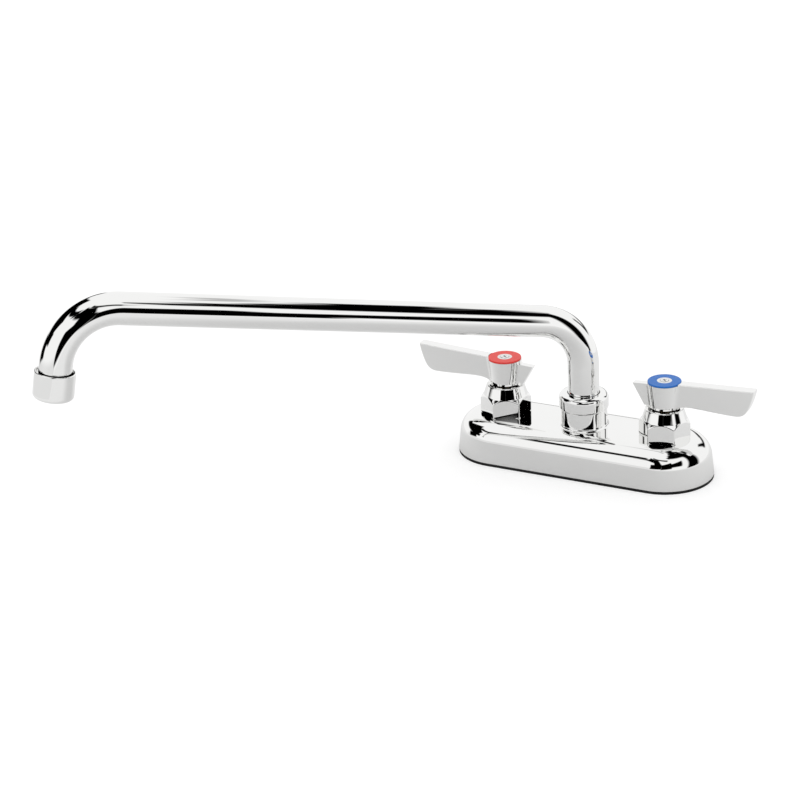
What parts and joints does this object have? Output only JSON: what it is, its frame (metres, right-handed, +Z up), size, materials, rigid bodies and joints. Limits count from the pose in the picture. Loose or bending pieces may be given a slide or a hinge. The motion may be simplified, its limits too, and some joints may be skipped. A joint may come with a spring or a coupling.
{
  "type": "deck-mount faucet",
  "caption": "Deck-mount kitchen faucet: long chrome base, two quarter-turn lever valves and a swinging bent tube spout with a collared outlet.",
  "frame": {"origin": "centre of the deck plane, under the gasket, midway between the two valves", "axes": "+X along the base to the cold valve, -Y to the user, +Z up; levers closed and the spout swung to the left and front as pictured"},
  "size_m": [0.3312, 0.2679, 0.1978],
  "materials": {
    "chrome_plate": "polished chrome plate over brass",
    "brass": "turned brass",
    "black_rubber": "moulded rubber",
    "ceramic": "lapped alumina ceramic",
    "white_plastic": "moulded acetal",
    "steel": "stainless steel",
    "red_index": "glossy red ring round a white centre",
    "blue_index": "glossy blue ring round a white centre"
  },
  "bodies": {
    "body": {"faucet_body": "chrome_plate", "deck_gasket": "black_rubber", "shank_washers": "steel", "shank_lock_nuts": "brass", "spout_nut": "chrome_plate", "lower_bearing_ring": "white_plastic", "hot_inlet_shank": "brass", "hot_seat_seal": "black_rubber", "hot_fixed_disc": "ceramic", "hot_cartridge_housing": "brass", "hot_bonnet_nut": "chrome_plate", "cold_inlet_shank": "brass", "cold_seat_seal": "black_rubber", "cold_fixed_disc": "ceramic", "cold_cartridge_housing": "brass", "cold_bonnet_nut": "chrome_plate"},
    "hot_handle": {"hot_lever": "chrome_plate", "hot_index_disc": "red_index", "hot_handle_screw": "steel", "hot_stem": "brass", "hot_stem_o_ring": "black_rubber", "hot_moving_disc": "ceramic"},
    "cold_handle": {"cold_lever": "chrome_plate", "cold_index_disc": "blue_index", "cold_handle_screw": "steel", "cold_stem": "brass", "cold_stem_o_ring": "black_rubber", "cold_moving_disc": "ceramic"},
    "spout": {"spout_tube": "chrome_plate", "swivel_sleeve": "brass", "spout_o_rings": "black_rubber", "upper_bearing_ring": "white_plastic", "outlet_adapter": "brass", "outlet_collar": "chrome_plate", "outlet_washer": "black_rubber", "flow_insert": "white_plastic", "outlet_screen": "steel"}
  },
  "joints": [
    {"name": "spout_swivel", "type": "hinge", "parent": "body", "child": "spout", "pos_m": [0, 0, 0.0395], "axis": [0, 0, 1], "continuous": true},
    {"name": "hot_handle_turn", "type": "hinge", "parent": "body", "child": "hot_handle", "pos_m": [-0.0508, 0, 0.0427], "axis": [0, 0, 1], "range_deg": [0, 90]},
    {"name": "cold_handle_turn", "type": "hinge", "parent": "body", "child": "cold_handle", "pos_m": [0.0508, 0, 0.0427], "axis": [0, 0, -1], "range_deg": [0, 90]}
  ]
}
